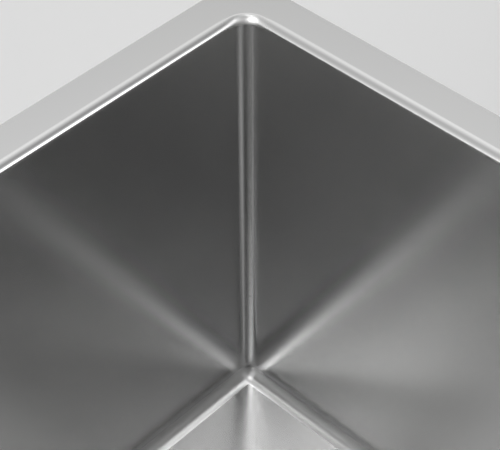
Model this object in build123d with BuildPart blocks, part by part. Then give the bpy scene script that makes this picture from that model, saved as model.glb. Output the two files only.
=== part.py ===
"""Undermount kitchen sink: one bowl pressed from stainless sheet, its sound pads, its basket
strainer and the clips that hold its flange up against a worktop.

Millimetres, +Z up, X along the bowl's long side. The origin is the centre of the bowl's mouth, level
with the face of the flange, which is the plane of the worktop's underside.
"""

import os

from build123d import *

os.makedirs("parts", exist_ok=True)

# ---------------------------------------------------------------- driving dimensions

# Bowl
bowl_length = 500.0  # inside, along X
bowl_width = 400.0  # inside, along Y
bowl_depth = 200.0  # flange face to the edges of the floor
sheet = 1.2
bowl_radius = 6.0  # inside radius of the upright corners and round the floor
rim_radius = 2.5  # rolled edge between the flange and the walls
flange_width = 16.5  # wall to cut edge
floor_fall = 3.0  # drop of the floor from its edges to the drain

# Drain seat pressed into the floor
seat_depth = 3.0
seat_clearance = 1.5  # round the strainer's flange
seat_bend_radius = 1.6  # where the seat turns down out of the floor
pan_margin = 7.0  # level floor outside the seat
drain_hole_diameter = 90.0

# Sound pads
pad_thickness = 3.0
pad_bevel = 1.0
pad_corner_radius = 12.0
wall_pad_height = 110.0
wall_pad_drop = 50.0  # flange face to the top of the wall pads
wall_pad_margin = 70.0  # bowl corner to the end of a wall pad
end_pad_size = (110.0, 160.0)  # floor pads left and right: down the slope, across it
side_pad_size = (72.0, 200.0)  # floor pads front and back
floor_pad_inset = 22.0  # from the edge of the floor

# Strainer
strainer_flange_diameter = 112.0
strainer_flange_thickness = 1.5
strainer_wall = 2.0
strainer_barrel_diameter = 87.0  # over the thread
strainer_barrel_length = 26.0
strainer_cup_depth = 42.0
strainer_floor_diameter = 66.0
strainer_mouth_radius = 2.5  # rounded lip of the cup
strainer_floor_radius = 4.0
outlet_thread_diameter = 47.8
outlet_bore_diameter = 40.0
outlet_length = 18.0
hub_hole_diameter = 8.0
hub_diameter = 16.0
hub_length = 3.0  # below the strainer's floor
cross_bar_width = 5.0
top_gasket_thickness = 1.2
rubber_washer_thickness = 4.0
friction_ring_thickness = 1.0
lock_nut_diameter = 108.0  # over its pressing flange
lock_nut_flange_thickness = 3.0
lock_nut_height = 15.0
lock_nut_wall = 4.5
lock_nut_lug_count = 8
lock_nut_lug_width = 7.0
lock_nut_lug_reach = 4.0
thread_clearance = 0.1

# Tailpiece and its coupling
tailpiece_diameter = 38.1
tailpiece_wall = 1.2
tailpiece_length = 100.0
tailpiece_lip_diameter = 46.0
tailpiece_lip_thickness = 1.6
tailpiece_neck_diameter = 37.6  # where the tube is gripped while its lip is rolled
tailpiece_neck_length = 5.0
tail_washer_thickness = 2.0
slip_nut_wall = 3.2
slip_nut_height = 18.0
slip_nut_floor = 3.0
slip_nut_lug_count = 8
slip_nut_lug_width = 5.0
slip_nut_lug_reach = 2.4

# Basket with its stopper
basket_rim_diameter = 80.0
basket_floor_diameter = 60.0
basket_sheet = 0.8
basket_lip_height = 3.0  # upright lip above the perforated wall
basket_lip_bend = 1.2
basket_corner_radius = 4.0
basket_drop = 5.0  # strainer's face to the top of the basket
floor_hole_diameter = 3.6
inner_hole_ring_radius = 15.0
inner_hole_count = 8
outer_hole_ring_radius = 22.5
outer_hole_count = 14
wall_hole_diameter = 4.2
wall_hole_count = 18
wall_hole_heights = (8.5, 16.0)  # above the underside of the basket
stem_diameter = 7.0
stem_tip_diameter = 5.6
stem_tip_chamfer = 0.8
stem_reach = 9.0  # tip below the strainer's floor
stem_collar_diameter = 14.0
stem_collar_thickness = 1.5
knob_diameter = 19.0
knob_height = 9.0
knob_waist_diameter = 13.0
knob_edge_radius = 1.5
knob_drop = 2.0  # strainer's face to the top of the knob
knob_socket_depth = 5.0
stopper_diameter = 54.0
stopper_thickness = 2.6
stopper_lip_width = 2.6
stopper_dish = 5.5  # height of the hollow under the stopper
stopper_hub_diameter = 22.0  # level middle of the stopper
seal_gap = 0.2  # lip above the strainer's floor
stem_nut_across_flats = 10.0
stem_nut_thickness = 3.0
catch_ring_wire = 1.4
catch_ring_gap = 2.5  # opening in the ring
catch_groove_depth = 0.35
catch_rise = 3.0  # stem's tip to the underside of the ring
running_clearance = 0.08
play = 0.1  # between flat faces that turn on each other

# Worktop clips
stud_diameter = 6.0
stud_below = 34.0
stud_chamfer = 0.8
stud_offset = 10.5  # flange edge to stud
anchor_diameter = 10.0  # the stud's thicker end, bonded into the worktop
anchor_length = 12.0
clip_width = 18.0
clip_sheet = 2.5
clip_bend_radius = 2.0
clip_toe_reach = 7.5  # how far the toe lies under the flange
clip_toe_leg = 8.0  # stud to the near face of the toe's leg
clip_heel_reach = 22.0  # stud to the outside of the heel
clip_height = 14.5  # worktop to the underside of the clip's web
clip_corner_radius = 2.5
clip_slot_length = 10.0
stud_clearance = 0.1  # round the stud, in the slot, the washer and the nut
clip_from_corner = 130.0  # bowl corner to the nearest stud, along the long walls
washer_diameter = 16.0
washer_thickness = 1.4
wing_nut_hub_diameter = 12.0
wing_nut_foot_diameter = 9.0
wing_nut_hub_height = 9.0
wing_span = 32.0
wing_thickness = 2.6
wing_drop = 15.0  # nut's face to the tips of its wings
wing_tip_height = 7.0
wing_tip_radius = 2.8

# ---------------------------------------------------------------- levels and radii that follow

flange_length = bowl_length + 2 * flange_width
flange_breadth = bowl_width + 2 * flange_width
flange_corner_radius = bowl_radius + flange_width  # an even flange all the way round
flat_length = bowl_length - 2 * bowl_radius  # floor inside its rounded edges
flat_width = bowl_width - 2 * bowl_radius
seat_radius = strainer_flange_diameter / 2 + seat_clearance
pan_side = 2 * (seat_radius + pan_margin)

pan_level = -(bowl_depth + floor_fall)
seat_level = pan_level - seat_depth
strainer_top = seat_level + top_gasket_thickness + strainer_flange_thickness
barrel_top = strainer_top - strainer_flange_thickness
barrel_end = barrel_top - strainer_barrel_length
web_top = strainer_top - strainer_cup_depth
web_under = web_top - strainer_wall
outlet_end = web_under - outlet_length
washer_level = seat_level - sheet
friction_level = washer_level - rubber_washer_thickness
lock_nut_level = friction_level - friction_ring_thickness
tailpiece_top = outlet_end - tail_washer_thickness
tailpiece_lip_under = tailpiece_top - tailpiece_lip_thickness
tailpiece_end = tailpiece_top - tailpiece_length
slip_nut_end = tailpiece_lip_under - slip_nut_floor

barrel_radius = strainer_barrel_diameter / 2
mouth_radius = barrel_radius - strainer_wall
cup_floor_radius = strainer_floor_diameter / 2
outlet_radius = outlet_thread_diameter / 2
outlet_bore_radius = outlet_bore_diameter / 2
lock_nut_bore = barrel_radius + thread_clearance
lock_nut_body = lock_nut_bore + lock_nut_wall
tailpiece_radius = tailpiece_diameter / 2
tailpiece_neck_end = tailpiece_lip_under - tailpiece_neck_length
slip_nut_bore = outlet_radius + thread_clearance
slip_nut_body = slip_nut_bore + slip_nut_wall

basket_top = strainer_top - basket_drop
stopper_lip_level = web_top + seal_gap
stopper_under = stopper_lip_level + stopper_dish
stopper_top = stopper_under + stopper_thickness
stopper_radius = stopper_diameter / 2
basket_under = stopper_top + play
basket_floor = basket_under + basket_sheet
basket_height = basket_top - basket_under
knob_top = strainer_top - knob_drop
knob_under = knob_top - knob_height
stem_radius = stem_diameter / 2
stem_tip_radius = stem_tip_diameter / 2
stem_tip_level = web_under - stem_reach
catch_level = stem_tip_level + catch_rise
catch_inner_radius = stem_tip_radius - catch_groove_depth
catch_outer_radius = catch_inner_radius + catch_ring_wire

stud_radius = stud_diameter / 2
stud_hole_radius = stud_radius + stud_clearance
nut_face = -clip_height - washer_thickness


def write(part, label):
    """Names a finished piece and writes it as one STEP file."""
    part.label = label
    export_step(part, f"parts/{label}.step")


def corner(sketch, x, y):
    """The corner of a sketch nearest to a point of its plane."""
    return sketch.vertices().sort_by_distance((x, y, 0))[0]


def ring(outer_radius, inner_radius, top, thickness):
    """A flat ring about the drain's axis."""
    with BuildPart() as flat_ring:
        with BuildSketch(Plane.XY.offset(top)):
            Circle(outer_radius)
            Circle(inner_radius, mode=Mode.SUBTRACT)
        extrude(amount=-thickness)
    return flat_ring.part


# ---------------------------------------------------------------- bowl
# One sheet: the flange turns over the rolled rim into four upright walls, and the floor falls in
# four flat facets, creased from corner to corner, to a level pan with the drain's pressed seat.


def tub(length, width, depth, radius):
    """A block under the flange's face, its upright edges and the edges of its floor rounded alike."""
    with BuildPart() as block:
        Box(length, width, depth, align=(Align.CENTER, Align.CENTER, Align.MAX))
        floor_edges = block.faces().sort_by(Axis.Z)[0].edges()
        fillet(block.edges().filter_by(Axis.Z) + floor_edges, radius)
    return block.part


def hopper(rise):
    """The flat-sided funnel from the edges of the floor to the level pan, moved up by rise."""
    with BuildPart(Plane.XY.offset(rise - bowl_depth)) as funnel:
        Wedge(
            flat_length,
            floor_fall,
            flat_width,
            (flat_length - pan_side) / 2,
            (flat_width - pan_side) / 2,
            (flat_length + pan_side) / 2,
            (flat_width + pan_side) / 2,
            rotation=(-90, 0, 0),
            align=(Align.CENTER, Align.MIN, Align.CENTER),
        )
    return funnel.part


outer_tub = tub(
    bowl_length + 2 * sheet, bowl_width + 2 * sheet, bowl_depth + sheet, bowl_radius + sheet
)
inner_tub = tub(bowl_length, bowl_width, bowl_depth, bowl_radius)
outer_hopper = hopper(-sheet)
inner_hopper = hopper(0)

with BuildPart() as bowl:
    with BuildSketch():
        RectangleRounded(flange_length, flange_breadth, flange_corner_radius)
    extrude(amount=-sheet)
    add(outer_tub)
    flange_under = bowl.faces().filter_by(Axis.Z).sort_by(Axis.Z)[-2]
    fillet(flange_under.inner_wires()[0].edges(), rim_radius - sheet)
    add(outer_hopper)
    with BuildSketch(Plane.XY.offset(pan_level)):
        Circle(seat_radius + sheet)
    extrude(amount=-(seat_depth + sheet))
    add(inner_tub, mode=Mode.SUBTRACT)
    add(inner_hopper, mode=Mode.SUBTRACT)
    with BuildSketch(Plane.XY.offset(pan_level)):
        Circle(seat_radius)
    extrude(amount=-seat_depth, mode=Mode.SUBTRACT)
    with BuildSketch(Plane.XY.offset(seat_level)):
        Circle(drain_hole_diameter / 2)
    extrude(amount=-sheet, mode=Mode.SUBTRACT)
    mouth_edges = bowl.faces().filter_by(Axis.Z).sort_by(Axis.Z)[-1].inner_wires()[0].edges()
    fillet(mouth_edges, rim_radius)
    seat_edges = bowl.edges().filter_by_position(Axis.Z, pan_level - sheet / 4, pan_level + sheet / 4)
    fillet(seat_edges.filter_by(GeomType.CIRCLE), seat_bend_radius)
write(bowl.part, "bowl")


# ---------------------------------------------------------------- sound pads
# Flat rubber pads stuck to the outside of the walls and to the underside of the floor's facets.


def pad(face_plane, size):
    """A pad lying on face_plane, whose normal points away from the sheet."""
    with BuildPart() as rubber:
        with BuildSketch(face_plane):
            RectangleRounded(*size, pad_corner_radius)
        extrude(amount=pad_thickness)
        outer_face = rubber.faces().sort_by(Axis(face_plane.origin, face_plane.z_dir))[-1]
        chamfer(outer_face.edges(), pad_bevel)
    return rubber.part


for side, out, half_size, wall_margin_span, slope_size in (
    ("left", Vector(-1, 0, 0), bowl_length / 2, bowl_width, end_pad_size),
    ("right", Vector(1, 0, 0), bowl_length / 2, bowl_width, end_pad_size),
    ("front", Vector(0, -1, 0), bowl_width / 2, bowl_length, side_pad_size),
    ("back", Vector(0, 1, 0), bowl_width / 2, bowl_length, side_pad_size),
):
    along = Vector(0, 0, 1).cross(out)
    wall_size = (wall_margin_span - 2 * wall_pad_margin, wall_pad_height)
    wall_middle = out * (half_size + sheet) - Vector(0, 0, wall_pad_drop + wall_pad_height / 2)
    write(pad(Plane(wall_middle, x_dir=along, z_dir=out), wall_size), f"{side}_wall_pad")

    slope_run = half_size - bowl_radius - pan_side / 2
    down_slope = (out * -slope_run - Vector(0, 0, floor_fall)).normalized()
    floor_edge = out * (half_size - bowl_radius) - Vector(0, 0, bowl_depth + sheet)
    slope_middle = floor_edge + down_slope * (floor_pad_inset + slope_size[0] / 2)
    under = Plane(slope_middle, x_dir=down_slope, z_dir=along.cross(down_slope))
    write(pad(under if under.z_dir.Z < 0 else -under, slope_size), f"{side}_floor_pad")


# ---------------------------------------------------------------- strainer
# A deep cup whose flange drops into the seat on its gasket. The lock nut pulls it down from below
# through a rubber washer and a friction ring. Its floor is a cross with a hub for the basket's stem.

with BuildPart() as strainer_body:
    with BuildSketch(Plane.XZ) as strainer_section:
        with BuildLine():
            Polyline(
                (0, web_top),
                (cup_floor_radius, web_top),
                (mouth_radius, barrel_end),
                (mouth_radius, strainer_top),
                (strainer_flange_diameter / 2, strainer_top),
                (strainer_flange_diameter / 2, barrel_top),
                (barrel_radius, barrel_top),
                (barrel_radius, barrel_end),
                (cup_floor_radius + strainer_wall, web_under),
                (outlet_radius, web_under),
                (outlet_radius, outlet_end),
                (outlet_bore_radius, outlet_end),
                (outlet_bore_radius, web_under),
                (0, web_under),
                close=True,
            )
        make_face()
        fillet(corner(strainer_section, mouth_radius, strainer_top), strainer_mouth_radius)
        fillet(corner(strainer_section, cup_floor_radius, web_top), strainer_floor_radius)
        fillet(
            corner(strainer_section, cup_floor_radius + strainer_wall, web_under),
            strainer_floor_radius,
        )
    revolve(axis=Axis.Z)
    with BuildSketch(Plane.XY.offset(web_under)):
        Circle(hub_diameter / 2)
    extrude(amount=-hub_length)
    with BuildSketch(Plane.XY.offset(web_top)) as windows:
        Circle(outlet_bore_radius)
        Circle(hub_diameter / 2, mode=Mode.SUBTRACT)
        Rectangle(outlet_bore_diameter, cross_bar_width, mode=Mode.SUBTRACT)
        Rectangle(cross_bar_width, outlet_bore_diameter, mode=Mode.SUBTRACT)
        fillet(windows.vertices(), strainer_wall / 2)
    extrude(amount=-strainer_wall, mode=Mode.SUBTRACT)
    with BuildSketch(Plane.XY.offset(web_top)):
        Circle(hub_hole_diameter / 2)
    extrude(amount=-(strainer_wall + hub_length), mode=Mode.SUBTRACT)
write(strainer_body.part, "strainer_body")

hole_radius = drain_hole_diameter / 2
write(
    ring(strainer_flange_diameter / 2, hole_radius, seat_level + top_gasket_thickness, top_gasket_thickness),
    "top_gasket",
)
write(
    ring(lock_nut_diameter / 2, lock_nut_bore, washer_level, rubber_washer_thickness),
    "rubber_washer",
)
write(
    ring(lock_nut_diameter / 2, lock_nut_bore, friction_level, friction_ring_thickness),
    "friction_ring",
)

with BuildPart() as lock_nut:
    with BuildSketch(Plane.XY.offset(lock_nut_level)):
        Circle(lock_nut_diameter / 2)
    extrude(amount=-lock_nut_flange_thickness)
    with BuildSketch(Plane.XY.offset(lock_nut_level)):
        Circle(lock_nut_body)
        with PolarLocations(lock_nut_body, lock_nut_lug_count):
            Rectangle(2 * lock_nut_lug_reach, lock_nut_lug_width)
    extrude(amount=-lock_nut_height)
    with BuildSketch(Plane.XY.offset(lock_nut_level)):
        Circle(lock_nut_bore)
    extrude(amount=-lock_nut_height, mode=Mode.SUBTRACT)
write(lock_nut.part, "lock_nut")


# ---------------------------------------------------------------- tailpiece
# A flanged tube hung from the strainer's outlet by its slip nut, with a flat washer between.

write(
    ring(tailpiece_lip_diameter / 2, tailpiece_radius - tailpiece_wall, outlet_end, tail_washer_thickness),
    "tail_washer",
)

with BuildPart() as tailpiece:
    with BuildSketch(Plane.XY.offset(tailpiece_top)):
        Circle(tailpiece_lip_diameter / 2)
    extrude(amount=-tailpiece_lip_thickness)
    with BuildSketch(Plane.XY.offset(tailpiece_lip_under)):
        Circle(tailpiece_neck_diameter / 2)
    extrude(amount=-tailpiece_neck_length)
    with BuildSketch(Plane.XY.offset(tailpiece_neck_end)):
        Circle(tailpiece_radius)
    extrude(amount=tailpiece_end - tailpiece_neck_end)
    with BuildSketch(Plane.XY.offset(tailpiece_top)):
        Circle(tailpiece_radius - tailpiece_wall)
    extrude(amount=-tailpiece_length, mode=Mode.SUBTRACT)
write(tailpiece.part, "tailpiece")

with BuildPart() as slip_nut:
    with BuildSketch(Plane.XY.offset(slip_nut_end)):
        Circle(slip_nut_body)
        with PolarLocations(slip_nut_body, slip_nut_lug_count):
            Rectangle(2 * slip_nut_lug_reach, slip_nut_lug_width)
    extrude(amount=slip_nut_height)
    with BuildSketch(Plane.XY.offset(tailpiece_lip_under)):
        Circle(slip_nut_bore)
    extrude(amount=slip_nut_height - slip_nut_floor, mode=Mode.SUBTRACT)
    with BuildSketch(Plane.XY.offset(slip_nut_end)):
        Circle(tailpiece_radius + thread_clearance)
    extrude(amount=slip_nut_floor, mode=Mode.SUBTRACT)
write(slip_nut.part, "slip_nut")


# ---------------------------------------------------------------- basket
# A perforated cup that turns freely on the stem. The stem carries the knob, the rubber stopper and
# the catch ring, and slides in the strainer's hub.

basket_rim = basket_rim_diameter / 2
basket_foot = basket_floor_diameter / 2
lip_under = basket_top - basket_lip_height
basket_wall_end = basket_rim - basket_lip_height

with BuildPart() as basket_cup:
    with BuildSketch(Plane.XZ) as basket_section:
        with BuildLine():
            FilletPolyline(
                (stem_radius + running_clearance, basket_under),
                (basket_foot, basket_under),
                (basket_wall_end, lip_under),
                (basket_rim, lip_under + basket_sheet),
                (basket_rim, basket_top),
                radius=(basket_corner_radius, basket_lip_bend, basket_lip_bend),
            )
            offset(amount=basket_sheet, side=Side.LEFT, closed=True)
        make_face()
    revolve(axis=Axis.Z)
    with BuildSketch(Plane.XY.offset(basket_floor)):
        with PolarLocations(inner_hole_ring_radius, inner_hole_count):
            Circle(floor_hole_diameter / 2)
        with PolarLocations(outer_hole_ring_radius, outer_hole_count):
            Circle(floor_hole_diameter / 2)
    extrude(amount=-basket_sheet, mode=Mode.SUBTRACT)
    for row, hole_height in enumerate(wall_hole_heights):
        row_level = basket_under + hole_height
        wall_radius = basket_foot + (basket_wall_end - basket_foot) * hole_height / basket_height
        row_turn = row * 180 / wall_hole_count
        drill = Plane.XY.offset(row_level).rotated((0, 0, row_turn))
        with Locations(drill):
            with PolarLocations(wall_radius, wall_hole_count):
                Cylinder(
                    wall_hole_diameter / 2,
                    8 * basket_sheet,
                    rotation=(0, 90, 0),
                    mode=Mode.SUBTRACT,
                )
write(basket_cup.part, "basket_cup")

with BuildPart() as stem:
    with BuildSketch(Plane.XZ):
        with BuildLine():
            Polyline(
                (0, stem_tip_level),
                (stem_tip_radius - stem_tip_chamfer, stem_tip_level),
                (stem_tip_radius, stem_tip_level + stem_tip_chamfer),
                (stem_tip_radius, catch_level),
                (catch_inner_radius, catch_level),
                (catch_inner_radius, catch_level + catch_ring_wire),
                (stem_tip_radius, catch_level + catch_ring_wire),
                (stem_tip_radius, stopper_top),
                (stem_radius, stopper_top),
                (stem_radius, basket_floor + play),
                (stem_collar_diameter / 2, basket_floor + play),
                (stem_collar_diameter / 2, basket_floor + play + stem_collar_thickness),
                (stem_radius, basket_floor + play + stem_collar_thickness),
                (stem_radius, knob_under + knob_socket_depth),
                (0, knob_under + knob_socket_depth),
                close=True,
            )
        make_face()
    revolve(axis=Axis.Z)
write(stem.part, "stem")

with BuildPart() as knob:
    with BuildSketch(Plane.XZ) as knob_section:
        with BuildLine():
            head = Line((0, knob_top), (knob_diameter / 2, knob_top))
            edge = Line(head @ 1, (knob_diameter / 2, knob_top - knob_height / 3))
            waist = Spline(
                edge @ 1,
                (knob_waist_diameter / 2, knob_under),
                tangents=((-1, -1), (0, -1)),
            )
            Polyline(
                waist @ 1,
                (stem_radius, knob_under),
                (stem_radius, knob_under + knob_socket_depth),
                (0, knob_under + knob_socket_depth),
                head @ 0,
            )
        make_face()
        fillet(corner(knob_section, knob_diameter / 2, knob_top), knob_edge_radius)
    revolve(axis=Axis.Z)
write(knob.part, "knob")

with BuildPart() as stopper_seal:
    with BuildSketch(Plane.XZ):
        with BuildLine():
            inner_lip = stopper_radius - stopper_lip_width
            Polyline(
                (stem_tip_radius, stopper_under),
                (stopper_hub_diameter / 2, stopper_under),
                (inner_lip, stopper_lip_level + stopper_lip_width / 2),
                (inner_lip, stopper_lip_level),
                (stopper_radius, stopper_lip_level),
                (stopper_radius, stopper_lip_level + stopper_lip_width),
                (stopper_hub_diameter / 2 + stopper_thickness, stopper_top),
                (stem_tip_radius, stopper_top),
                close=True,
            )
        make_face()
    revolve(axis=Axis.Z)
write(stopper_seal.part, "stopper_seal")

with BuildPart() as stem_nut:
    with BuildSketch(Plane.XY.offset(stopper_under)):
        RegularPolygon(stem_nut_across_flats / 2, 6, major_radius=False)
        Circle(stem_tip_radius, mode=Mode.SUBTRACT)
    extrude(amount=-stem_nut_thickness)
write(stem_nut.part, "stem_nut")

with BuildPart() as catch_ring:
    with BuildSketch(Plane.XY.offset(catch_level)):
        Circle(catch_outer_radius)
        Circle(catch_inner_radius, mode=Mode.SUBTRACT)
        with Locations((catch_outer_radius, 0)):
            Rectangle(2 * catch_outer_radius, catch_ring_gap, mode=Mode.SUBTRACT)
    extrude(amount=catch_ring_wire)
write(catch_ring.part, "catch_ring")


# ---------------------------------------------------------------- worktop clips
# Studs bonded into the worktop's underside stand outside the flange. On each, a bent clip bears on
# the worktop with its heel and lifts the flange with its toe, drawn up by a washer and a wing nut.

stud_y = flange_breadth / 2 + stud_offset
stud_x = flange_length / 2 + stud_offset
row_x = bowl_length / 2 - clip_from_corner
clip_planes = (
    Plane((-row_x, -stud_y, 0), x_dir=(0, -1, 0), z_dir=(0, 0, 1)),
    Plane((row_x, -stud_y, 0), x_dir=(0, -1, 0), z_dir=(0, 0, 1)),
    Plane((stud_x, 0, 0), x_dir=(1, 0, 0), z_dir=(0, 0, 1)),
    Plane((row_x, stud_y, 0), x_dir=(0, 1, 0), z_dir=(0, 0, 1)),
    Plane((-row_x, stud_y, 0), x_dir=(0, 1, 0), z_dir=(0, 0, 1)),
    Plane((-stud_x, 0, 0), x_dir=(-1, 0, 0), z_dir=(0, 0, 1)),
)


def side_view(place):
    """The upright plane through a stud, with x pointing away from the bowl and y up."""
    return Plane(place.origin, x_dir=place.x_dir, z_dir=place.x_dir.cross(place.z_dir))


def clip(place):
    """A strip bent down from the toe, out along the web and up to the heel, slotted for the stud."""
    half_sheet = clip_sheet / 2
    with BuildPart() as strip:
        with BuildSketch(side_view(place)):
            with BuildLine():
                FilletPolyline(
                    (-stud_offset - clip_toe_reach, -sheet - half_sheet),
                    (-clip_toe_leg - half_sheet, -sheet - half_sheet),
                    (-clip_toe_leg - half_sheet, -clip_height + half_sheet),
                    (clip_heel_reach - half_sheet, -clip_height + half_sheet),
                    (clip_heel_reach - half_sheet, 0),
                    radius=clip_bend_radius + half_sheet,
                )
            trace(line_width=clip_sheet)
        extrude(amount=clip_width / 2, both=True)
        toe_face = strip.faces().sort_by(Axis(place.origin, place.x_dir))[0]
        fillet(toe_face.edges().filter_by(Axis.Z), clip_corner_radius)
        with BuildSketch(place.offset(-clip_height)):
            SlotCenterToCenter(clip_slot_length - 2 * stud_hole_radius, 2 * stud_hole_radius)
        extrude(amount=clip_sheet, mode=Mode.SUBTRACT)
    return strip.part


def wing_nut(place):
    """A hub under the washer with two thumb wings that sweep out and down."""
    tip_x = wing_span / 2
    with BuildPart() as nut:
        with BuildSketch(side_view(place)):
            with BuildLine():
                Polyline(
                    (0, nut_face),
                    (wing_nut_hub_diameter / 2, nut_face),
                    (wing_nut_foot_diameter / 2, nut_face - wing_nut_hub_height),
                    (0, nut_face - wing_nut_hub_height),
                    close=True,
                )
            make_face()
        revolve(axis=Axis(place.origin, place.z_dir))
        with BuildSketch(side_view(place)) as wings:
            with BuildLine():
                Polyline(
                    (0, nut_face - wing_thickness / 2),
                    (wing_nut_hub_diameter / 2, nut_face - wing_thickness / 2),
                    (tip_x, nut_face - wing_drop + wing_tip_height),
                    (tip_x, nut_face - wing_drop),
                    (tip_x - wing_tip_height, nut_face - wing_drop),
                    (0, nut_face - wing_nut_hub_height),
                    close=True,
                )
            make_face()
            fillet(corner(wings, tip_x, nut_face - wing_drop + wing_tip_height), wing_tip_radius)
            fillet(corner(wings, tip_x, nut_face - wing_drop), wing_tip_radius)
            fillet(corner(wings, tip_x - wing_tip_height, nut_face - wing_drop), wing_tip_radius)
            mirror(about=Plane.YZ)
        extrude(amount=wing_thickness / 2, both=True)
        with BuildSketch(place.offset(nut_face)):
            Circle(stud_hole_radius)
        extrude(amount=-wing_drop, mode=Mode.SUBTRACT)
    return nut.part


for number, place in enumerate(clip_planes, start=1):
    write(clip(place), f"clip_{number}")
    write(wing_nut(place), f"wing_nut_{number}")

with BuildPart() as clip_studs:
    for place in clip_planes:
        with BuildSketch(place):
            Circle(anchor_diameter / 2)
        extrude(amount=anchor_length)
        with BuildSketch(place):
            Circle(stud_radius)
        extrude(amount=-stud_below)
    stud_edges = clip_studs.edges().filter_by(GeomType.CIRCLE).group_by(Axis.Z)
    chamfer(stud_edges[0] + stud_edges[-1], stud_chamfer)
write(clip_studs.part, "clip_studs")

with BuildPart() as clip_washers:
    for place in clip_planes:
        with BuildSketch(place.offset(-clip_height)):
            Circle(washer_diameter / 2)
            Circle(stud_hole_radius, mode=Mode.SUBTRACT)
        extrude(amount=-washer_thickness)
write(clip_washers.part, "clip_washers")
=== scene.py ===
from functools import partial
from math import cos, exp, pi, radians, sin, sqrt

import bmesh
import bpy
from mathutils import Matrix, Vector


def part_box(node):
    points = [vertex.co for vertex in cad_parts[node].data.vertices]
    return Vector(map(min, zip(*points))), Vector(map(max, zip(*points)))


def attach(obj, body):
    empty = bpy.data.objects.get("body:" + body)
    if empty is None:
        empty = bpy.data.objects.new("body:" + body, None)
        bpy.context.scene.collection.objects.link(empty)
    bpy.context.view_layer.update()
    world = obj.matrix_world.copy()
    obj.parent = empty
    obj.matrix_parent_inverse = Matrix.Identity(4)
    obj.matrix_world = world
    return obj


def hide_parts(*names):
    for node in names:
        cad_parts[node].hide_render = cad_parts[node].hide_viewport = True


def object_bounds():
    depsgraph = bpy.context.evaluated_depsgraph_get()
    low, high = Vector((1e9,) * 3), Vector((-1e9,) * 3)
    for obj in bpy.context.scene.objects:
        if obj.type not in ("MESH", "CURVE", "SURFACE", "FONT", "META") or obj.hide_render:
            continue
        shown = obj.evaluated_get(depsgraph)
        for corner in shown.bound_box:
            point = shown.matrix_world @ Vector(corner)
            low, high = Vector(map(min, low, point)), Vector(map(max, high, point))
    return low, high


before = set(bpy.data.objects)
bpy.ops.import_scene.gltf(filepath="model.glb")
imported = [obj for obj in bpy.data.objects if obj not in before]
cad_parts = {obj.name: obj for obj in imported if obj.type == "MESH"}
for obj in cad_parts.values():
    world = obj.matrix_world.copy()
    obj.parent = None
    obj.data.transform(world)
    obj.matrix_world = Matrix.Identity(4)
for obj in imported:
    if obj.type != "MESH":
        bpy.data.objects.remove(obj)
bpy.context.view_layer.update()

# ---------------------------------------------------------------- camera
# A long lens looks down from over the bowl into its back left corner, nearly along the corner's
# diagonal, so that only a hand's breadth of the flange shows on each side of it.

camera_place = Vector((0.05626, -0.11774, 0.32964))
camera_turn = radians(43.80)  # from +Y towards -X
camera_dip = radians(44.74)  # below the horizon
camera_roll = radians(-0.28)
photo_width = 500  # in pixels, as the focal length is
focal_pixels = 1517


def add_object(name, data):
    """A new object of the scene, at the origin."""
    thing = bpy.data.objects.new(name, data)
    bpy.context.collection.objects.link(thing)
    return thing


camera_data = bpy.data.cameras.new("camera")
camera_data.sensor_width = 36
camera_data.lens = camera_data.sensor_width * focal_pixels / photo_width
camera_data.clip_start = 0.01
camera = add_object("camera", camera_data)
camera.matrix_world = (
    Matrix.Translation(camera_place)
    @ Matrix.Rotation(camera_turn, 4, "Z")
    @ Matrix.Rotation(pi / 2 - camera_dip, 4, "X")
    @ Matrix.Rotation(camera_roll, 4, "Z")
)
bpy.context.scene.camera = camera


# ---------------------------------------------------------------- bowl
# The bowl is one pressing of 1.2 mm stainless sheet with a satin finish. Its flange, which the
# clips hold up against the worktop, turns over a rolled rim into upright walls, and its floor
# falls in four facets to the drain's seat.

mm = 0.001
bowl_half = (250 * mm, 200 * mm)
bowl_depth = 200 * mm
bowl_radius = 6 * mm  # of the upright corners and of the floor's rounded edges
flange_width = 16.5 * mm
sheet = 1.2 * mm

# The rim's bend runs from the flange's level face to the wall. Its width is seen from above.
rim_width = 3.5 * mm
rim_drop = 3.0 * mm
corner_rim_width = 2.2 * mm  # the bend is narrower and deeper round the corners
corner_rim_drop = 3.8 * mm
corner_reach = 7 * mm
rim_turn = radians(52)  # the first part of the bend is the wide one
rim_tightness = 0.7  # radius of the last part over that of the first
underside_narrower = 0.7  # how many sheets narrower and shallower the bend is on the underside
underside_shallower = 0.5

floor_half = (bowl_half[0] - bowl_radius, bowl_half[1] - bowl_radius)
floor_fall = 3 * mm
pan_half = 64.5 * mm  # the level square that the floor's four facets fall to
crease_radius = 14 * mm  # how softly the facets meet
seat_radius = 57.5 * mm
seat_bend = 1.6 * mm
seat_depth = 3 * mm
drain_radius = 45 * mm

corner_steps = 24  # round one corner
edge_steps = 16  # down the rim's bend, and as many round the floor's edge
floor_steps = 8
seat_steps = 8
side_parts = (0.003, 0.008, 0.016, 0.032, 0.968, 0.984, 0.992, 0.997)  # where a side has points


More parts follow.
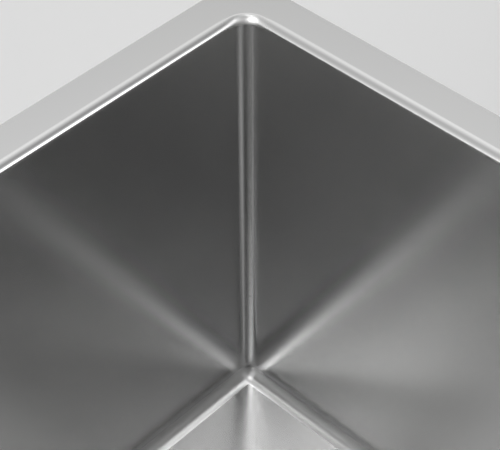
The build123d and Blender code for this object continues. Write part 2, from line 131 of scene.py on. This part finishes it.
def outline(half_x, half_y, radius):
    """Points round a rectangle with rounded corners: where each lies, its way outward, and how
    far along the outline it is from the middle of a corner."""
    points = []

    def add_point(x, y, angle, away):
        out_x, out_y = cos(angle), sin(angle)
        points.append((x + radius * out_x, y + radius * out_y, out_x, out_y, away))

    centres = [
        (side_x * (half_x - radius), side_y * (half_y - radius))
        for side_x, side_y in ((1, 1), (-1, 1), (-1, -1), (1, -1))
    ]
    for corner, (x, y) in enumerate(centres):
        for step in range(corner_steps + 1):
            turned = step / corner_steps
            add_point(x, y, (corner + turned) * pi / 2, radius * abs(turned - 0.5) * pi / 2)
        next_x, next_y = centres[(corner + 1) % 4]
        length = abs(next_x - x) + abs(next_y - y)
        for part in side_parts:
            add_point(
                x + (next_x - x) * part,
                y + (next_y - y) * part,
                (corner + 1) * pi / 2,
                radius * pi / 4 + length * min(part, 1 - part),
            )
    return points


def ring(half_x, half_y, radius, height):
    """One closed row of points: a level rectangle with rounded corners, counter-clockwise."""
    return [(x, y, height) for x, y, *rest in outline(half_x, half_y, radius)]


def round_ring(radius, height):
    """One closed row of points on a level circle."""
    return ring(radius, radius, radius, height)


def bent_ring(inset, height):
    """A ring that stands inset from the bowl's walls, whose corners keep the walls' centres."""
    return ring(bowl_half[0] - inset, bowl_half[1] - inset, bowl_radius - inset, height)


def even_bend(angle):
    """How far across and down a bend of one radius has come when it has turned by an angle."""
    return sin(angle), 1 - cos(angle)


def rim_bend(angle):
    """The same for the rim's upper face, whose bend is wide at first and then tight."""
    wide = min(angle, rim_turn)
    across = sin(wide) + rim_tightness * (sin(angle) - sin(wide))
    down = 1 - cos(wide) + rim_tightness * (cos(wide) - cos(angle))
    return across, down


def near_corner(away):
    """1 at the middle of a corner, and falls to 0 along the sides."""
    return exp(-((away / corner_reach) ** 2))


def rim_ring(angle, gap):
    """A ring of the rim's bend, angle past the flange, on the sheet's upper face, or gap below it,
    where the bend has one radius."""
    bend = even_bend if gap else rim_bend
    across, down = bend(angle)
    whole_across, whole_down = bend(pi / 2)
    points = []
    for x, y, out_x, out_y, away in outline(*bowl_half, bowl_radius):
        nearness = near_corner(away)
        width = rim_width + (corner_rim_width - rim_width) * nearness
        drop = rim_drop + (corner_rim_drop - rim_drop) * nearness
        out = gap + (width - underside_narrower * gap) * (1 - across / whole_across)
        height = -gap - (drop - underside_shallower * gap) * down / whole_down
        points.append((x + out_x * out, y + out_y * out, height))
    return points


def quarter_turn(steps):
    """The angles of a bend from start to end, and how far the metal is drawn at each, 0 to 1."""
    for step in range(steps + 1):
        angle = pi / 2 * step / steps
        yield angle, min(1, 2 * sin(2 * angle))


def bowl_side(gap):
    """The rings of the sheet's upper face, or of the one gap below it, from the flange's cut edge
    to the drain, each with how far the metal is drawn at each of its points."""
    nearness = [near_corner(away) for *rest, away in outline(*bowl_half, bowl_radius)]
    undrawn = [0] * len(nearness)
    rings = [(bent_ring(-flange_width, -gap), undrawn)]
    for angle, drawn in quarter_turn(edge_steps):
        rings.append((rim_ring(angle, gap), [near * drawn for near in nearness]))
    reach = bowl_radius + gap
    for angle, drawn in quarter_turn(edge_steps):
        inset = bowl_radius - reach * cos(angle)
        level = -bowl_depth + bowl_radius - reach * sin(angle)
        rings.append((bent_ring(inset, level), [drawn] * len(nearness)))
    for step in range(1, floor_steps + 1):
        share = step / floor_steps
        half_x, half_y = (half + share * (pan_half - half) for half in floor_half)
        level = -bowl_depth - gap - floor_fall * share
        rings.append((ring(half_x, half_y, crease_radius * sqrt(share), level), undrawn))
    pan_level = -bowl_depth - floor_fall - gap
    seat_edge = seat_radius + seat_bend
    bend = seat_bend - gap
    for angle, drawn in quarter_turn(seat_steps):
        level = pan_level - bend + bend * cos(angle)
        rings.append((round_ring(seat_edge - bend * sin(angle), level), undrawn))
    for reach in (seat_edge - bend, drain_radius):
        rings.append((round_ring(reach, pan_level - seat_depth), undrawn))
    return rings


# The upper face runs down to the drain and the underside back up, and the last ring joins the
# first at the cut edge.
rings = bowl_side(0.0) + bowl_side(sheet)[::-1]
ring_size = len(rings[0][0])
starts = [number * ring_size for number in range(len(rings))]
faces = []
for start, next_start in zip(starts, starts[1:] + starts[:1]):
    for step in range(ring_size):
        after = (step + 1) % ring_size
        faces.append((start + step, start + after, next_start + after, next_start + step))
bowl_mesh = bpy.data.meshes.new("pressed_bowl")
bowl_mesh.from_pydata([point for points, drawn in rings for point in points], [], faces)
bend_mark = bowl_mesh.attributes.new("bend", "FLOAT", "POINT")
bend_mark.data.foreach_set("value", [amount for points, drawn in rings for amount in drawn])
bowl_piece = add_object("pressed_bowl", bowl_mesh)

# The points that fall together are merged, and the large faces set the shading at their edges.
same_place = 0.002 * mm
no_length = 0.0001 * mm
bowl_sharp_angle = radians(35)
bowl_shape = bmesh.new()
bowl_shape.from_mesh(bowl_mesh)
bmesh.ops.remove_doubles(bowl_shape, verts=bowl_shape.verts, dist=same_place)
bmesh.ops.dissolve_degenerate(bowl_shape, edges=bowl_shape.edges, dist=no_length)
bowl_shape.to_mesh(bowl_mesh)
bowl_shape.free()
bowl_mesh.shade_smooth()
bowl_mesh.set_sharp_from_angle(angle=bowl_sharp_angle)
weighted = bowl_piece.modifiers.new("weighted", "WEIGHTED_NORMAL")
weighted.keep_sharp = True
weighted.weight = 100


def freeze(piece):
    """Turns what a piece's modifiers make into its plain mesh, and removes them."""
    depsgraph = bpy.context.evaluated_depsgraph_get()
    made = bpy.data.meshes.new_from_object(piece.evaluated_get(depsgraph))
    piece.modifiers.clear()
    piece.data = made
    made.name = piece.name
    return made


freeze(bowl_piece)


def feed(tree, node, inputs):
    """Gives a node its inputs, as numbers or the sockets of earlier nodes. Returns its outputs."""
    for label, value in inputs.items():
        if isinstance(value, bpy.types.NodeSocket):
            tree.links.new(value, node.inputs[label])
        else:
            node.inputs[label].default_value = value
    return node.outputs


def add_node(tree, kind, inputs):
    """The outputs of a new node that needs nothing but its inputs."""
    return feed(tree, tree.nodes.new(kind), inputs)


def add_math(tree, operation, *values):
    """One step of arithmetic in a node tree."""
    step = tree.nodes.new("ShaderNodeMath")
    step.operation = operation
    return feed(tree, step, dict(enumerate(values)))["Value"]


def set_shader(finish, inputs):
    """Gives a material's shader its inputs."""
    feed(finish.node_tree, finish.node_tree.nodes["Principled BSDF"], inputs)


def new_finish(name, colour, metallic, roughness):
    """A material whose plain numbers stand on its shader, ready for its grain."""
    finish = bpy.data.materials.new(name)
    finish.use_nodes = True
    set_shader(finish, {"Base Color": (*colour, 1), "Metallic": metallic, "Roughness": roughness})
    return finish


def grain(finish, per_metre, detail=3.0, distortion=0.0):
    """Noise on the piece's own coordinates: grains per metre, one number or one for each axis."""
    tree = finish.node_tree
    place = add_node(tree, "ShaderNodeTexCoord", {})["Object"]
    stretch = per_metre if isinstance(per_metre, tuple) else (per_metre,) * 3
    scaled = add_node(tree, "ShaderNodeMapping", {"Vector": place, "Scale": stretch})["Vector"]
    noise = {"Vector": scaled, "Scale": 1.0, "Detail": detail, "Distortion": distortion}
    return add_node(tree, "ShaderNodeTexNoise", noise)["Fac"]


def spread(finish, value, low=0.0, high=1.0):
    """Noise, most of which lies from 0.3 to 0.7, spread between two numbers."""
    span = {"Value": value, "From Min": 0.3, "From Max": 0.7, "To Min": low, "To Max": high}
    return add_node(finish.node_tree, "ShaderNodeMapRange", span)["Result"]


def total(finish, first, *others):
    """The sum of several sockets."""
    for other in others:
        first = add_math(finish.node_tree, "ADD", first, other)
    return first


def set_roughness(finish, *values):
    """The surface's roughness is the sum of several sockets."""
    set_shader(finish, {"Roughness": total(finish, *values)})


def set_colour(finish, value, low, high):
    """The surface's colour runs between two colours as a socket does from 0 to 1."""
    blend = finish.node_tree.nodes.new("ShaderNodeMix")
    blend.data_type = "RGBA"
    ends = {"Factor": value, "A": (*low, 1), "B": (*high, 1)}
    set_shader(finish, {"Base Color": feed(finish.node_tree, blend, ends)["Result"]})


def set_relief(finish, value, depth):
    """A bump whose height is depth times the socket."""
    bump = {"Height": value, "Strength": 1.0, "Distance": depth}
    set_shader(finish, {"Normal": add_node(finish.node_tree, "ShaderNodeBump", bump)["Normal"]})


drawn_roughness = 0.24  # how much rougher the drawn bends are
bowl_steel = new_finish("bowl_steel", (0.67, 0.67, 0.67), metallic=1.0, roughness=0.21)
hairlines = grain(bowl_steel, (14, 1500, 1500), detail=2.0)
wiping = grain(bowl_steel, 9)
bend = bowl_steel.node_tree.nodes.new("ShaderNodeAttribute")
bend.attribute_name = "bend"
set_roughness(
    bowl_steel,
    spread(bowl_steel, hairlines, 0.165, 0.195),
    spread(bowl_steel, wiping, 0.0, 0.035),
    add_math(bowl_steel.node_tree, "MULTIPLY", bend.outputs["Fac"], drawn_roughness),
)
set_colour(bowl_steel, spread(bowl_steel, wiping), (0.66, 0.66, 0.66), (0.68, 0.68, 0.675))
bowl_piece.data.materials.append(bowl_steel)
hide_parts("bowl")
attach(bowl_piece, "sink")


# ---------------------------------------------------------------- sound pads
# Black butyl rubber pads, die-cut from sheet with a fine pebbled face and stuck to the bowl's
# walls and under its floor to deaden its ring. Their cut edges are bevelled.


def wear(node, finish):
    """Gives a node of the frame its material."""
    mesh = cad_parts[node].data
    mesh.materials.clear()
    mesh.materials.append(finish)


pad_rubber = new_finish("pad_rubber", (0.028, 0.028, 0.030), metallic=0.0, roughness=0.7)
pebbles = grain(pad_rubber, 700, detail=1.0)
dust = grain(pad_rubber, 30, detail=4.0)
set_roughness(
    pad_rubber, spread(pad_rubber, dust, 0.55, 0.72), spread(pad_rubber, pebbles, 0.0, 0.08)
)
set_colour(pad_rubber, spread(pad_rubber, dust), (0.022, 0.022, 0.024), (0.046, 0.045, 0.044))
set_relief(pad_rubber, pebbles, 0.35 * mm)
for side in ("left", "right", "front", "back"):
    wear(f"{side}_wall_pad", pad_rubber)
    wear(f"{side}_floor_pad", pad_rubber)


# ---------------------------------------------------------------- strainer
# A deep-drawn stainless cup, turned bright inside, whose flange lies in the bowl's seat. The
# threads for its nuts are rolled round the barrel and the outlet, and show where the nuts leave
# them bare.

texture_lines = 3.2  # about how many lines a metre the wave texture draws at a scale of 1


def turned_metal(name, colour, roughness, lines_per_metre, line_depth):
    """Bright metal with the fine rings that a lathe or a buffing wheel leaves round its axis."""
    finish = new_finish(name, colour, metallic=1.0, roughness=roughness)
    wave = finish.node_tree.nodes.new("ShaderNodeTexWave")
    wave.wave_type = "RINGS"
    wave.rings_direction = "Z"
    wave.wave_profile = "SAW"
    pattern = {
        "Vector": add_node(finish.node_tree, "ShaderNodeTexCoord", {})["Object"],
        "Scale": lines_per_metre / texture_lines,
        "Distortion": 1.5,
        "Detail": 2.0,
        "Detail Scale": 2.0,
    }
    lines = feed(finish.node_tree, wave, pattern)["Fac"]
    handling = grain(finish, 45, detail=4.0)
    line_shine = 0.03  # how much smoother one side of each line is
    handling_haze = 0.06  # how much rougher the metal is where it was handled most
    set_roughness(
        finish,
        spread(finish, lines, roughness - line_shine, roughness),
        spread(finish, handling, 0.0, handling_haze),
    )
    set_relief(finish, lines, line_depth)
    return finish


def new_tree(name, sizes):
    """A Geometry Nodes tree with named inputs, the sockets that give them and its output's."""
    tree = bpy.data.node_groups.new(name, "GeometryNodeTree")
    for label, kind in sizes.items():
        tree.interface.new_socket(label, in_out="INPUT", socket_type="NodeSocket" + kind)
    tree.interface.new_socket("Geometry", in_out="OUTPUT", socket_type="NodeSocketGeometry")
    given = tree.nodes.new("NodeGroupInput")
    return tree, given.outputs, tree.nodes.new("NodeGroupOutput").inputs["Geometry"]


def end_tree(tree, geometry, finish, output):
    """Closes a tree with Realize Instances and Set Material."""
    real = add_node(tree, "GeometryNodeRealizeInstances", {"Geometry": geometry})["Geometry"]
    coating = {"Geometry": real, "Material": finish}
    tree.links.new(add_node(tree, "GeometryNodeSetMaterial", coating)["Geometry"], output)


ridge_sharp_angle = radians(40)


def run_tree(name, tree, values):
    """A plain mesh object of what a tree makes from its named inputs."""
    host = add_object(name, bpy.data.meshes.new(name))
    modifier = host.modifiers.new("make", "NODES")
    modifier.node_group = tree
    for item in tree.interface.items_tree:
        if item.item_type == "SOCKET" and item.in_out == "INPUT":
            modifier[item.identifier] = values[item.name]
    made = freeze(host)
    made.shade_smooth()
    made.set_sharp_from_angle(angle=ridge_sharp_angle)
    return host


# A closed band round the upright axis whose outer face carries ridges: a screw thread with a
# lead of 1, plain rings with a lead of 0. With a bore of 0 and no inner wall it is a solid rod.
band_tree, size, band_output = new_tree(
    "ridged_band",
    {
        "Core Radius": "Float",
        "Ridge Height": "Float",
        "Pitch": "Float",
        "Lead": "Float",
        "Low": "Float",
        "High": "Float",
        "Fade": "Float",
        "Chamfer": "Float",
        "Bore": "Float",
        "Columns": "Int",
        "Rows": "Int",
        "Inner Wall": "Int",
        "Finish": "Material",
    },
)
calculate = partial(add_math, band_tree)


def clamp(value):
    """A socket of the band's tree kept from 0 to 1."""
    return calculate("MINIMUM", calculate("MAXIMUM", value, 0), 1)


# The band is a grid bent round. Its columns run once round the axis, and its rows round the
# section: the bore at the low end, the outer face upwards, the bore at the high end and, where
# the band has an inner wall, the bore at the low end again.
section_count = calculate("ADD", calculate("ADD", size["Rows"], 3), size["Inner Wall"])
band_grid = add_node(
    band_tree,
    "GeometryNodeMeshGrid",
    {"Vertices X": calculate("ADD", size["Columns"], 1), "Vertices Y": section_count},
)
grid_point = add_node(band_tree, "GeometryNodeInputPosition", {})["Position"]
grid_place = add_node(band_tree, "ShaderNodeSeparateXYZ", {"Vector": grid_point})
half_grid = 0.5  # the grid is 1 wide and long, with its middle at the origin
turn = calculate("ADD", grid_place["X"], half_grid)
section_part = calculate("ADD", grid_place["Y"], half_grid)
last_row = calculate("SUBTRACT", section_count, 1)
row = calculate("ROUND", calculate("MULTIPLY", section_part, last_row))

# The rows are whole numbers, so the limits between them lie half a row off.
above_bore = calculate("GREATER_THAN", row, 0.5)
below_top = calculate("LESS_THAN", row, calculate("ADD", size["Rows"], 1.5))
on_outer = calculate("MULTIPLY", above_bore, below_top)
not_last = calculate("LESS_THAN", row, calculate("ADD", size["Rows"], 2.5))
rise = clamp(calculate("DIVIDE", calculate("SUBTRACT", row, 1), size["Rows"]))
band_height = calculate("SUBTRACT", size["High"], size["Low"])
above_low = calculate("MULTIPLY", calculate("MULTIPLY", rise, not_last), band_height)
level = calculate("ADD", size["Low"], above_low)
from_end = calculate("MINIMUM", above_low, calculate("SUBTRACT", band_height, above_low))

# The ridge has a flat crest and root and sloping flanks, and fades out at both ends.
flank_slope = 3.2  # ridge heights per pitch
flank_top = 1.3  # how high the flanks would meet
turns_up = calculate("DIVIDE", above_low, size["Pitch"])
turns_round = calculate("MULTIPLY", turn, size["Lead"])
phase = calculate("FRACT", calculate("SUBTRACT", turns_up, turns_round))
off_crest = calculate("ABSOLUTE", calculate("SUBTRACT", phase, 0.5))
profile = clamp(calculate("MULTIPLY_ADD", off_crest, -flank_slope, flank_top))
whole = calculate("MINIMUM", calculate("DIVIDE", from_end, size["Fade"]), 1)
ridge = calculate("MULTIPLY", calculate("MULTIPLY", profile, whole), size["Ridge Height"])

# The chamfer cuts the ends at 45 degrees, and the rows off the outer face lie at the bore.
ridged_reach = calculate("ADD", size["Core Radius"], ridge)
crest_reach = calculate("ADD", size["Core Radius"], size["Ridge Height"])
cut_reach = calculate("ADD", calculate("SUBTRACT", crest_reach, size["Chamfer"]), from_end)
outer_reach = calculate("MULTIPLY", calculate("MINIMUM", ridged_reach, cut_reach), on_outer)
bore_reach = calculate("MULTIPLY", size["Bore"], calculate("SUBTRACT", 1, on_outer))
reach = calculate("ADD", outer_reach, bore_reach)
angle = calculate("MULTIPLY", turn, 2 * pi)
place = {
    "X": calculate("MULTIPLY", reach, calculate("COSINE", angle)),
    "Y": calculate("MULTIPLY", reach, calculate("SINE", angle)),
    "Z": level,
}
band_place = add_node(band_tree, "ShaderNodeCombineXYZ", place)["Vector"]
band_shape = add_node(
    band_tree, "GeometryNodeSetPosition", {"Geometry": band_grid["Mesh"], "Position": band_place}
)
band = add_node(
    band_tree,
    "GeometryNodeMergeByDistance",
    {"Geometry": band_shape["Geometry"], "Distance": same_place},
)
end_tree(band_tree, band["Geometry"], size["Finish"], band_output)

strainer_steel = turned_metal(
    "strainer_steel",
    colour=(0.66, 0.66, 0.65),
    roughness=0.17,
    lines_per_metre=2200,
    line_depth=0.004 * mm,
)
wear("strainer_body", strainer_steel)
nut_clearance = 0.1 * mm
barrel_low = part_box("lock_nut")[0][2] - nut_clearance
outlet_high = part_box("slip_nut")[1][2] + nut_clearance
thread_wall = 0.5 * mm
thread_row = 0.3 * mm
for name, core, low, high in (
    ("barrel_thread", 43.5 * mm, -230.6 * mm, barrel_low),
    ("outlet_thread", 23.9 * mm, outlet_high, -248.0 * mm),
):
    thread = run_tree(
        name,
        band_tree,
        {
            "Core Radius": core,
            "Ridge Height": 0.6 * mm,
            "Pitch": 2.2 * mm,
            "Lead": 1.0,
            "Low": low,
            "High": high,
            "Fade": 1.0 * mm,
            "Chamfer": 0.0,
            "Bore": core - thread_wall,
            "Columns": 72,
            "Rows": round((high - low) / thread_row),
            "Inner Wall": 1,
            "Finish": strainer_steel,
        },
    )
    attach(thread, "sink")


# ---------------------------------------------------------------- seals
# A foam gasket beds the strainer's flange in its seat. Under the bowl a black rubber washer seals
# the hole, and a ring of fibre lets the nut turn without dragging the rubber.


def soft_seal(name, dark, pale, roughness, cells_per_metre, cell_depth):
    """Rubber or foam with a fine cellular face and uneven bloom."""
    finish = new_finish(name, pale, metallic=0.0, roughness=roughness)
    skin = grain(finish, cells_per_metre, detail=1.5)
    bloom = grain(finish, 60, detail=4.0)
    bare_shine = 0.12  # how much smoother it is where there is no bloom
    cell_haze = 0.08  # how much rougher the cells' walls are
    set_roughness(
        finish,
        spread(finish, bloom, roughness - bare_shine, roughness),
        spread(finish, skin, 0.0, cell_haze),
    )
    set_colour(finish, spread(finish, bloom), dark, pale)
    set_relief(finish, skin, cell_depth)
    return finish


wear(
    "top_gasket",
    soft_seal(
        "gasket_foam",
        dark=(0.72, 0.72, 0.69),
        pale=(0.82, 0.82, 0.79),
        roughness=0.85,
        cells_per_metre=2600,
        cell_depth=0.12 * mm,
    ),
)
wear(
    "rubber_washer",
    soft_seal(
        "washer_rubber",
        dark=(0.022, 0.022, 0.023),
        pale=(0.045, 0.045, 0.046),
        roughness=0.62,
        cells_per_metre=1800,
        cell_depth=0.03 * mm,
    ),
)

fibre = new_finish("fibre", (0.50, 0.38, 0.24), metallic=0.0, roughness=0.8)
strands = grain(fibre, (2600, 500, 500), distortion=1.2)
mottle = grain(fibre, 160)
set_roughness(fibre, spread(fibre, strands, 0.7, 0.9))
set_colour(
    fibre,
    total(fibre, spread(fibre, strands, 0.0, 0.6), spread(fibre, mottle, 0.0, 0.4)),
    (0.36, 0.26, 0.16),
    (0.58, 0.46, 0.31),
)
set_relief(fibre, strands, 0.06 * mm)
wear("friction_ring", fibre)


# ---------------------------------------------------------------- nuts and tail washer
# The lock nut and the slip nut are moulded from off-white nylon, with lugs for a spanner or a
# hand. The tail washer between the outlet and the tailpiece is of milky soft plastic.


def moulded_plastic(name, dark, pale, roughness):
    """Nylon with the faint orange peel of its mould and scuffs from handling."""
    finish = new_finish(name, pale, metallic=0.0, roughness=roughness)
    set_shader(finish, {"Subsurface Weight": 0.12, "Subsurface Scale": 2 * mm})
    peel = grain(finish, 900, detail=2.0)
    scuffs = grain(finish, (90, 90, 260), detail=5.0, distortion=0.6)
    flow = grain(finish, 22, detail=2.0)
    rubbed_shine = 0.08  # how much smoother the rubbed places are
    scuff_haze = 0.06  # and how much rougher the scuffs
    peel_haze = 0.03
    set_roughness(
        finish,
        spread(finish, scuffs, roughness - rubbed_shine, roughness + scuff_haze),
        spread(finish, peel, 0.0, peel_haze),
    )
    set_colour(finish, spread(finish, flow), dark, pale)
    set_relief(finish, total(finish, peel, scuffs), 0.025 * mm)
    return finish


for node, finish_name, dark, pale, roughness in (
    ("lock_nut", "nut_nylon", (0.76, 0.76, 0.73), (0.83, 0.83, 0.81), 0.42),
    ("slip_nut", "slip_nut_nylon", (0.76, 0.76, 0.73), (0.83, 0.83, 0.81), 0.42),
    ("tail_washer", "tail_washer_plastic", (0.66, 0.68, 0.66), (0.78, 0.79, 0.76), 0.35),
):
    wear(node, moulded_plastic(finish_name, dark, pale, roughness))


# ---------------------------------------------------------------- tailpiece
# Thin brass tube with a rolled lip, chromed and left bright. The slip nut holds it up against the
# outlet, and a trap slides up its plain end.

tailpiece_chrome = turned_metal(
    "tailpiece_chrome",
    colour=(0.74, 0.745, 0.75),
    roughness=0.11,
    lines_per_metre=700,
    line_depth=0.001 * mm,
)
wear("tailpiece", tailpiece_chrome)


# ---------------------------------------------------------------- basket
# A pressed and punched stainless cup. It turns on a stem that carries the chromed knob above, and
# the rubber stopper, its nut and the spring catch below.

for node, finish_name, colour, roughness, lines_per_metre, line_depth in (
    ("basket_cup", "basket_steel", (0.68, 0.68, 0.67), 0.18, 1800, 0.003 * mm),
    ("stem", "stem_steel", (0.66, 0.66, 0.65), 0.20, 3000, 0.003 * mm),
    ("knob", "knob_chrome", (0.76, 0.765, 0.77), 0.09, 2400, 0.002 * mm),
    ("stem_nut", "stem_nut_steel", (0.62, 0.62, 0.61), 0.24, 2500, 0.003 * mm),
    ("catch_ring", "spring_steel", (0.50, 0.50, 0.50), 0.28, 4000, 0.002 * mm),
):
    wear(node, turned_metal(finish_name, colour, roughness, lines_per_metre, line_depth))
wear(
    "stopper_seal",
    soft_seal(
        "stopper_rubber",
        dark=(0.020, 0.020, 0.021),
        pale=(0.040, 0.040, 0.041),
        roughness=0.55,
        cells_per_metre=1500,
        cell_depth=0.03 * mm,
    ),
)


# ---------------------------------------------------------------- worktop clips
# Clips bent from zinc-plated strip, each on an M6 stud bonded into the worktop, with a washer and
# a cast wing nut. The studs' threads are rolled, and their thicker ends are ringed to key the
# bond.

clip_count = 6
blue_cast = (0.94, 0.96, 1.0)  # times the plate's colour, where it is still bright
yellow_cast = (1.06, 1.04, 0.97)  # and where it has dulled


def zinc_plate(name, colour, roughness, crystals_per_metre):
    """Bright zinc that has dulled unevenly, with small crystals and a faint blue-yellow cast."""
    finish = new_finish(name, colour, metallic=1.0, roughness=roughness)
    crystals = grain(finish, crystals_per_metre, distortion=0.8)
    dulling = grain(finish, 70, detail=4.0)
    crystal_shine = 0.07  # how much smoother some crystals are than others
    dull_haze = 0.14  # how much rougher the plate is where it has dulled
    set_roughness(
        finish,
        spread(finish, crystals, roughness - crystal_shine, roughness),
        spread(finish, dulling, 0.0, dull_haze),
    )
    set_colour(
        finish,
        spread(finish, dulling),
        [part * share for part, share in zip(colour, blue_cast)],
        [part * share for part, share in zip(colour, yellow_cast)],
    )
    set_relief(finish, crystals, 0.012 * mm)
    return finish


clip_zinc, nut_zinc, washer_zinc, stud_zinc = (
    zinc_plate(name, colour, roughness, crystals_per_metre)
    for name, colour, roughness, crystals_per_metre in (
        ("clip_zinc", (0.60, 0.61, 0.62), 0.34, 900),
        ("wing_nut_zinc", (0.56, 0.57, 0.58), 0.42, 1500),
        ("clip_washer_zinc", (0.62, 0.63, 0.64), 0.3, 1200),
        ("stud_zinc", (0.60, 0.61, 0.61), 0.3, 1800),
    )
)
for number in range(1, clip_count + 1):
    wear(f"clip_{number}", clip_zinc)
    wear(f"wing_nut_{number}", nut_zinc)
wear("clip_washers", washer_zinc)


def join(tree, parts):
    """The geometry of several sockets in one."""
    joined = tree.nodes.new("GeometryNodeJoinGeometry")
    for part in parts:
        tree.links.new(part, joined.inputs["Geometry"])
    return joined.outputs["Geometry"]


# Two studs along each long side and one at each end, each a threaded rod below a ringed end.
studs_tree, size, studs_output = new_tree(
    "six_studs",
    {
        "Long Spacing": "Float",
        "Side Spacing": "Float",
        "End Spacing": "Float",
        "Thread Low": "Float",
        "Ringed End High": "Float",
        "Finish": "Material",
    },
)
threaded_rod = {
    "Low": size["Thread Low"],
    "High": 0.0,
    "Core Radius": 2.55 * mm,
    "Ridge Height": 0.43 * mm,
    "Pitch": 1.0 * mm,
    "Lead": 1.0,
    "Fade": 0.4 * mm,
    "Rows": 204,
}
ringed_end = {
    "Low": 0.0,
    "High": size["Ringed End High"],
    "Core Radius": 4.6 * mm,
    "Ridge Height": 0.38 * mm,
    "Pitch": 2.4 * mm,
    "Lead": 0.0,
    "Fade": 0.1 * mm,
    "Rows": 40,
}
shared = {
    "Chamfer": 0.7 * mm,
    "Bore": 0.0,
    "Columns": 24,
    "Inner Wall": 0,
    "Finish": size["Finish"],
}
stud_parts = []
for part in (threaded_rod, ringed_end):
    length = studs_tree.nodes.new("GeometryNodeGroup")
    length.node_tree = band_tree
    stud_parts.append(feed(studs_tree, length, {**part, **shared})["Geometry"])
side_studs = add_node(
    studs_tree,
    "GeometryNodeMeshGrid",
    {
        "Vertices X": 2,
        "Vertices Y": 2,
        "Size X": size["Long Spacing"],
        "Size Y": size["Side Spacing"],
    },
)
end_line = studs_tree.nodes.new("GeometryNodeMeshLine")
end_line.mode = "END_POINTS"
end_studs = feed(studs_tree, end_line, {"Count": 2})
for label, side in (("Start Location", -0.5), ("Offset", 0.5)):
    reach = add_math(studs_tree, "MULTIPLY", size["End Spacing"], side)
    end_place = add_node(studs_tree, "ShaderNodeCombineXYZ", {"X": reach})["Vector"]
    feed(studs_tree, end_line, {label: end_place})
placed_studs = add_node(
    studs_tree,
    "GeometryNodeInstanceOnPoints",
    {
        "Points": join(studs_tree, [side_studs["Mesh"], end_studs["Mesh"]]),
        "Instance": join(studs_tree, stud_parts),
    },
)
end_tree(studs_tree, placed_studs["Instances"], size["Finish"], studs_output)

stud_low, stud_high = (corner[2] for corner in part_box("clip_studs"))
studs = run_tree(
    "threaded_studs",
    studs_tree,
    {
        "Long Spacing": 240 * mm,
        "Side Spacing": 454 * mm,
        "End Spacing": 554 * mm,
        "Thread Low": stud_low,
        "Ringed End High": stud_high,
        "Finish": stud_zinc,
    },
)
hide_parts("clip_studs")
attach(studs, "sink")


# ---------------------------------------------------------------- stage
# A plain pale floor under the tailpiece, in a studio with pale walls that are brighter to the
# right and the front. Two lamps shine from behind the camera, over and under a dark cloth, two
# broad ones from the left and the back left, and a low one from the right.

floor_colour = (0.78, 0.78, 0.78)
floor_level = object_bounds()[0][2]
floor_reach = 6.0
floor_mesh = bpy.data.meshes.new("studio_floor")
floor_mesh.from_pydata(
    [
        (side_x * floor_reach, side_y * floor_reach, floor_level)
        for side_x, side_y in ((-1, -1), (1, -1), (1, 1), (-1, 1))
    ],
    [],
    [(0, 1, 2, 3)],
)
floor = add_object("studio_floor", floor_mesh)
floor_paint = new_finish("floor_paint", floor_colour, metallic=0.0, roughness=0.9)
set_shader(floor_paint, {"Specular IOR Level": 0.0})
floor_mesh.materials.append(floor_paint)

wall_light = 0.73
light_lean = (0.44, -0.68, -0.78)  # what the walls' light gains towards +X, +Y and overhead
# The strength of each, its compass angle from +X and its height in degrees, and its tightness, by
# which its glow falls off all round.
cloth = (-7.6, 304, 32, 20)  # takes light away
lamps = (
    (6.7, 298, 61, 67),
    (10.2, 283, 15, 22),
    (0.3, 178, 57, 4.5),
    (1.35, 125, 57, 4.5),
    (2.8, 26, 18, 40),
)
least_light = 0.03
backdrop_light = 0.72  # the camera sees the walls as one plain tone

studio = bpy.data.worlds.new("studio")
bpy.context.scene.world = studio
studio.use_nodes = True
sky = studio.node_tree
outward = add_node(sky, "ShaderNodeTexCoord", {})["Generated"]


def along(direction):
    """How far the way outward runs along a direction."""
    product = sky.nodes.new("ShaderNodeVectorMath")
    product.operation = "DOT_PRODUCT"
    return feed(sky, product, {0: outward, 1: direction})["Value"]


light_level = add_math(sky, "ADD", along(light_lean), wall_light)
for strength, compass, height, tightness in (cloth, *lamps):
    level_part = cos(radians(height))
    east, north = level_part * cos(radians(compass)), level_part * sin(radians(compass))
    aim = along((east, north, sin(radians(height))))
    glow = add_math(sky, "EXPONENT", add_math(sky, "MULTIPLY_ADD", aim, tightness, -tightness))
    light_level = add_math(sky, "MULTIPLY_ADD", glow, strength, light_level)
light_level = add_math(sky, "MAXIMUM", light_level, least_light)
seen_directly = add_node(sky, "ShaderNodeLightPath", {})["Is Camera Ray"]
backdrop = {"Factor": seen_directly, "A": light_level, "B": backdrop_light}
brightness = add_node(sky, "ShaderNodeMix", backdrop)["Result"]
feed(sky, sky.nodes["Background"], {"Color": (1, 1, 1, 1), "Strength": brightness})

bpy.context.scene.view_settings.view_transform = "Standard"
